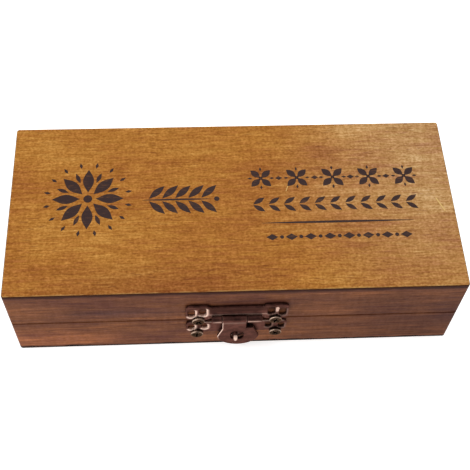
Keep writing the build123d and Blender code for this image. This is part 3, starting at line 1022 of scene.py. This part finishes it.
# %% The screw group
def screw_group():
    """Cross-head screws that stand on the given points and look along a direction."""
    lengths = {
        "Head Radius": 2.0,
        "Head Height": 1.0,
        "Shank Radius": 0.9,
        "Shank Length": 5.0,
        "Recess Span": 2.4,
        "Recess Width": 0.6,
        "Recess Depth": 0.9,
    }
    inputs = {label: ("Float", length * mm) for label, length in lengths.items()}
    inputs.update({"Tilt": ("Float", 0.0), "Seed": ("Int", 1), "Material": ("Material", None)})
    group, given = start_group("cross_head_screws", inputs)
    head = flat_head(group, given["Head Radius"], given["Head Height"])
    radius, length = given["Shank Radius"], given["Shank Length"]
    tip = times(group, radius, 1.5)
    straight = calculate(group, "SUBTRACT", length, tip)
    shank = geometry(group, "MeshCylinder", {"Vertices": 24, "Radius": radius, "Depth": straight})
    shank = moved(group, shank, z=times(group, straight, -0.46))
    point = times(group, radius, 0.25)
    inputs = {"Vertices": 24, "Radius Top": radius, "Radius Bottom": point, "Depth": tip}
    cone = moved(group, geometry(group, "MeshCone", inputs), z=times(group, length, -0.99))
    whole = gathered(group, "MeshBoolean", (head, shank, cone), 1, operation="UNION", solver="EXACT")

    bars = []
    span, width, depth = (given["Recess " + size] for size in ("Span", "Width", "Depth"))
    for x, y in ((span, width), (width, span)):
        bar = geometry(group, "MeshCube", {"Size": combine_xyz(group, x, y, times(group, depth, 2.0))})
        # The cross's faces are marked as recess, which the metal paints nearly black as shade
        bars.append(stored(group, moved(group, bar, z=given["Head Height"]), "recess", 1.0, "FACE"))
    screw = gathered(group, "MeshBoolean", bars, 1, {0: whole}, operation="DIFFERENCE", solver="EXACT")

    tilt = turned(group, x=given["Tilt"])
    inputs = {"Points": given["Geometry"], "Instance": screw, "Rotation": tilt}
    copies = geometry(group, "InstanceOnPoints", inputs)
    turn = turned(group, z=times(group, random_share(group, given["Seed"]), math.tau))
    inputs = {"Instances": copies, "Rotation": turn, "Local Space": True}
    end_group(group, geometry(group, "RotateInstances", inputs), given["Material"])
    return group


cross_head_screws = screw_group()
print("screw group inputs:", input_names(cross_head_screws))

# %% Screws where the frame has them
def loose_parts(node):
    """The points of every loose solid of a node, from left to right."""
    work = bmesh.new()
    work.from_mesh(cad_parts[node].data)
    bmesh.ops.remove_doubles(work, verts=work.verts, dist=weld)
    waiting = set(work.verts)
    parts = []
    while waiting:
        reached = [waiting.pop()]
        for vert in reached:
            fresh = {edge.other_vert(vert) for edge in vert.link_edges} & waiting
            waiting -= fresh
            reached.extend(fresh)
        parts.append([vert.co.copy() for vert in reached])
    work.free()
    # A set has no order of its own, and the turn of a screw goes by its place in the list
    return sorted(parts, key=lambda points: min(point.x for point in points))


def make_screws(node, body, seat, facing, seed):
    """Screws that stand for a node: heads on y = seat, looking along -Y for facing -1 and +Y for 1."""
    places = []
    for points in loose_parts(node):
        low = Vector(map(min, zip(*points)))
        high = Vector(map(max, zip(*points)))
        places.append(((low.x + high.x) / 2, seat, (low.z + high.z) / 2))
    head_radius = (high.x - low.x) / 2
    head_height = abs((high.y if facing > 0 else low.y) - seat)
    values = {
        "Head Radius": head_radius,
        "Head Height": head_height,
        "Shank Radius": head_radius * 0.43,
        "Shank Length": high.y - low.y - head_height,
        "Recess Span": head_radius * 1.3,
        "Recess Width": head_radius * 0.34,
        "Recess Depth": head_height * 0.5,
        "Tilt": -facing * math.pi / 2,
        "Seed": seed,
        "Material": metals["screw"],
    }
    mesh = run_group(node + "_finished", cross_head_screws, places, values)
    smooth(mesh, 35)
    settle(add_object(node + "_finished", mesh), body, metals["screw"], node)


hinge_leaf_thickness = 0.8 * mm
hinge_leaf_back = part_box("base_back_wall")[1].y + hinge_leaf_thickness
make_screws("hasp_screws", "lid", plate_front, -1, seed=3)
make_screws("catch_screws", "base", plate_front, -1, seed=8)
make_screws("hinge_lid_screws", "lid", hinge_leaf_back, 1, seed=5)
make_screws("hinge_base_screws", "base", hinge_leaf_back, 1, seed=6)

# %% [markdown]
# ## Printed ornament on the lid
# The lid carries dark brown print, pressed into the wood. Here it is generic printer's ornament: a
# sunburst flower and a leafy twig on the left, and bands of small flowers, leaves and lozenges on the
# right. All of it is one motif, a flat disc with a few sides that can be stretched and pointed into a
# dot, a lozenge or a leaf. The group sets a ring of these motifs around every given point.

# %% One motif
def motif(group, sides, length, width, pointed):
    """A flat shape, longest along X: pointed = 1 draws its sides in to a tip at both ends."""
    disc = geometry(group, "MeshCircle", {"Vertices": sides, "Radius": 1.0}, fill_type="NGON")
    x, y, z = positions(group)
    narrow = calculate(group, "SUBTRACT", 1.0, times(group, times(group, x, x), pointed))
    across = times(group, times(group, y, narrow), times(group, width, 0.5))
    along = times(group, times(group, x, length), 0.5)
    return geometry(group, "SetPosition", {"Geometry": disc, "Position": combine_xyz(group, along, across)})


def slab(group, sheet, thickness):
    """Give a flat sheet its thickness, upwards, and close it underneath."""
    up = combine_xyz(group, z=1.0)
    inputs = {"Mesh": sheet, "Offset": up, "Offset Scale": thickness, "Individual": False}
    raised = geometry(group, "ExtrudeMesh", inputs, mode="FACES")
    under = geometry(group, "FlipFaces", {0: sheet})
    both = gathered(group, "JoinGeometry", (raised, under), 0)
    return geometry(group, "MergeByDistance", {0: both, "Distance": 0.001 * mm})


print("a motif of 4 sides is a lozenge, one of 24 a leaf or a dot")

# %% The ornament group
def ornament_group():
    """Rings of flat motifs around the given points; a ring of one at radius 0 is a single motif."""
    inputs = {
        "Count": ("Int", 1),
        "Radius": ("Float", 0.0),
        "Turn": ("Float", 0.0),
        "Sides": ("Int", 4),
        "Length": ("Float", 2.0 * mm),
        "Width": ("Float", 1.0 * mm),
        "Pointed": ("Float", 0.0),
        "Thickness": ("Float", 0.03 * mm),
        "Unevenness": ("Float", 0.06),
        "Seed": ("Int", 1),
        "Material": ("Material", None),
    }
    group, given = start_group("ring_of_motifs", inputs)
    sheet = motif(group, *(given[key] for key in ("Sides", "Length", "Width", "Pointed")))
    shape = moved(group, slab(group, sheet, given["Thickness"]), x=given["Radius"])
    spots = geometry(group, "Points", {"Count": given["Count"]})
    step = calculate(group, "DIVIDE", math.tau, given["Count"])
    angle = calculate(group, "ADD", times(group, geometry(group, "InputIndex"), step), given["Turn"])
    inputs = {"Points": spots, "Instance": shape, "Rotation": turned(group, z=angle)}
    ring = geometry(group, "InstanceOnPoints", inputs)
    smallest = calculate(group, "SUBTRACT", 1.0, given["Unevenness"])
    size = random_share(group, given["Seed"], smallest)
    inputs = {"Points": given["Geometry"], "Instance": ring, "Scale": combine_xyz(group, size, size, 1.0)}
    end_group(group, geometry(group, "InstanceOnPoints", inputs), given["Material"])
    return group


ornaments = ornament_group()
print("ornament inputs:", input_names(ornaments))

# %% Ink
def printed_ink(name, grain, dark, thin):
    """Ink that soaked into wood: where the fibres stand high it is thinner and browner."""
    material, tree, shader, place = start_material(name)
    fibres = wood_noise(tree, place, grain, "fibres", top_finish["shift"])
    blots = grain_noise(tree, place, grain, 2.4, 1.4, 3.0, 0.6, 31.0)
    thinness = times(tree, remap(tree, fibres, 0.45, 0.72), remap(tree, blots, 0.42, 0.66))
    tint = blend(tree, times(tree, thinness, 0.6), dark, thin)
    relief = bumps(tree, 0.3, 0.05, fibres)
    fill(shader, Base_Color=tint, Roughness=0.55, Specular_IOR_Level=0.2, Normal=relief)
    return material


lid_ink = printed_ink("lid_print_ink", "x", colour(50, 28, 26), colour(120, 76, 40))
print("ink:", lid_ink.name)

# %% Printing the motifs
ink_depth = 0.03 * mm
sunk_share = 0.4
lid_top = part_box("lid_top_panel")[1].z
ink_level = lid_top - sunk_share * ink_depth
printed = []


def print_motifs(centres, **sizes):
    """Print motifs around centres given in mm on the lid; lengths in mm, angles in degrees."""
    places = [(x * mm, y * mm, ink_level) for x, y in centres]
    values = {"Count": 1, "Thickness": ink_depth, "Material": lid_ink, "Seed": len(printed)}
    scales = {"Radius": mm, "Length": mm, "Width": mm, "Turn": math.radians(1)}
    for label, value in sizes.items():
        values[label] = value * scales[label] if label in scales else value
    printed.append(run_group("ornament", ornaments, places, values))


def row(middle, y, spacing, count):
    """Places in a row along X."""
    return [(middle + spacing * (place - (count - 1) / 2), y) for place in range(count)]


print("the print stands", round((ink_level + ink_depth - lid_top) / mm, 3), "mm proud")

# %% Flower and twig on the left
flower = [(-49.0, 3.2)]
print_motifs(flower, Count=8, Radius=7.4, Sides=28, Length=9.6, Width=3.8, Pointed=0.9)
print_motifs(flower, Count=8, Radius=9.6, Sides=20, Length=4.6, Width=1.5, Pointed=0.9, Turn=22.5)
print_motifs(flower, Count=16, Radius=14.6, Sides=4, Length=2.6, Width=1.2, Turn=11.25)
print_motifs(flower, Sides=24, Length=3.0, Width=3.0)

twig_start = -31.0
twig_end = -7.5
twig_y = 2.2
stem = [((twig_start + twig_end) / 2, twig_y)]
print_motifs(stem, Sides=40, Length=twig_end - twig_start, Width=0.7, Pointed=0.3)
leaf_places = [(x, twig_y) for x in (-29.0, -24.6, -20.2, -15.8, -11.4)]
for leaf_turn in (44.0, -44.0):
    print_motifs(leaf_places, Radius=4.6, Sides=24, Length=7.6, Width=2.5, Pointed=0.85, Turn=leaf_turn)
print_motifs([(-5.6, twig_y)], Sides=20, Length=1.9, Width=1.9)
print("motifs printed on the left:", len(printed), "kinds")

# %% Bands on the right
block_middle = 34.6
flowers_y = 10.2
leaves_y = -0.6
line_y = -8.0
lozenges_y = -13.6
flower_spacing = 12.4
lozenge_spacing = 6.4
flowers = row(block_middle, flowers_y, flower_spacing, 5)
print_motifs(flowers, Count=4, Radius=2.7, Sides=24, Length=4.6, Width=2.5, Pointed=0.7, Turn=45.0)
print_motifs(flowers, Count=4, Radius=3.9, Sides=4, Length=1.8, Width=0.9)
print_motifs(flowers, Sides=18, Length=1.3, Width=1.3)
print_motifs(row(block_middle, flowers_y, flower_spacing, 4), Sides=4, Length=2.6, Width=1.7)
for side in (-1, 1):
    leaves = row(block_middle, leaves_y + side * 1.5, 5.2, 11)
    print_motifs(leaves, Sides=24, Length=4.9, Width=1.8, Pointed=0.85, Turn=side * 34.0)
print_motifs([(block_middle, line_y)], Sides=48, Length=52.0, Width=0.9, Pointed=0.4)
print_motifs(row(block_middle, lozenges_y, lozenge_spacing, 8), Sides=4, Length=4.2, Width=2.6)
print_motifs(row(block_middle, lozenges_y, lozenge_spacing, 7), Sides=16, Length=1.4, Width=1.4)

work = bmesh.new()
for mesh in printed:
    work.from_mesh(mesh)
lid_print = bpy.data.meshes.new("lid_ornament")
work.to_mesh(lid_print)
work.free()
settle(add_object("lid_ornament", lid_print), "lid", lid_ink)

# %% [markdown]
# ## The stamps inside
# Thirty blocks of pale, unstained wood stand in three rows of ten. Each carries its own letter in black
# on top, and the same letter in rubber underneath. One material serves all blocks: the place of a
# block in the rows picks its tone and its piece of grain, so no two look cut from the same board.

# %% Stamp wood
stamp_low, stamp_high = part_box("stamp_a")
pitch = Vector((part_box("stamp_b")[0].x - stamp_low.x, stamp_low.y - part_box("stamp_k")[0].y, 0))
stamp_size = stamp_high - stamp_low
first_corner = Vector((
    stamp_low.x - (pitch.x - stamp_size.x) / 2,
    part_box("stamp_u")[0].y - (pitch.y - stamp_size.y) / 2,
    0,
))


def stamp_wood(name):
    """Pale wood with upright grain that changes from block to block."""
    material, tree, shader, place = start_material(name)
    from_corner = vectors(tree, "SUBTRACT", place, first_corner)
    cell = vectors(tree, "FLOOR", vectors(tree, "MULTIPLY", from_corner, (1 / pitch.x, 1 / pitch.y, 0)))
    chance = add_node(tree, "ShaderNodeTexWhiteNoise", {0: cell}, noise_dimensions="3D").outputs["Color"]
    shifted = vectors(tree, "ADD", place, chance)
    rings = grain_noise(tree, shifted, "z", 40, 2.6, 2.0, 0.5)
    fibres = grain_noise(tree, shifted, "z", 6.0, 0.35, 3.0, 0.6, 9.0)
    stain = calculate(tree, "ADD", times(tree, rings, 0.7), times(tree, separate(tree, chance)[0], 0.3))
    stops = [(0.25, colour(186, 140, 92)), (0.5, colour(206, 166, 116)), (0.75, colour(220, 186, 138))]
    tint = darken(tree, ramp(tree, stain, stops), remap(tree, fibres, 0.3, 0.7, 0.9, 1.06))
    relief = bumps(tree, 0.25, 0.04, fibres)
    fill(shader, Base_Color=tint, Roughness=0.6, Specular_IOR_Level=0.25, Normal=relief)
    return material


print("blocks stand", [round(size / mm, 2) for size in pitch[:2]], "mm apart")

# %% Stamp rubber
def stamp_rubber(name, inked_below):
    """Red-brown rubber whose raised letters are black from use."""
    material, tree, shader, place = start_material(name)
    mottle = grain_noise(tree, place, "x", 1.2, 1.0, 3.0, 0.6)
    rubber = ramp(tree, mottle, [(0.3, colour(132, 52, 42)), (0.7, colour(158, 68, 54))])
    inked = remap(tree, separate(tree, place)[2], inked_below + 0.3 * mm, inked_below)
    tint = blend(tree, inked, rubber, colour(34, 28, 30))
    fill(shader, Base_Color=tint, Roughness=0.7, Normal=bumps(tree, 0.2, 0.03, mottle))
    return material


stamp_nodes = sorted(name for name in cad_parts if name.startswith("stamp_"))
rubber_nodes = sorted(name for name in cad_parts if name.startswith("rubber_"))
finish_nodes(stamp_nodes, stamp_wood("pale_stamp_wood"))
finish_nodes(rubber_nodes, stamp_rubber("stamp_rubber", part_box(rubber_nodes[0])[0].z + 0.8 * mm))
print(len(stamp_nodes), "stamps and", len(rubber_nodes), "rows of rubber dies")

# %% A letter on each stamp
letter_ink = printed_ink("stamp_letter_ink", "z", colour(30, 24, 24), colour(70, 52, 40))
font_size = 12.825 * mm
letter_depth = 0.03 * mm
symbols = {"ampersand": "&", "exclamation": "!", "question": "?", "stop": "."}


def letter_mesh(name, sign):
    """A flat letter around the origin, with a little thickness."""
    text = bpy.data.curves.new(name, "FONT")
    text.body = sign
    text.size = font_size
    text.align_x = "CENTER"
    text.extrude = letter_depth / 2
    text.resolution_u = 6
    blank = add_object(name, text)
    mesh = evaluated_mesh(blank, name)
    remove(blank)
    close_seams(mesh)
    return mesh


capital_height = max(vert.co.y for vert in letter_mesh("capital", "H").vertices)
for node in stamp_nodes:
    label = node.removeprefix("stamp_")
    mesh = letter_mesh("letter_" + label, symbols.get(label, label.upper()))
    low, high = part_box(node)
    middle = (low + high) / 2
    letter_middle = sum(limit(vert.co.x for vert in mesh.vertices) for limit in (min, max)) / 2
    place = Vector((middle.x - letter_middle, middle.y - capital_height / 2, high.z + 0.1 * letter_depth))
    mesh.transform(Matrix.Translation(place))
    settle(add_object("letter_" + label, mesh), "base", letter_ink)
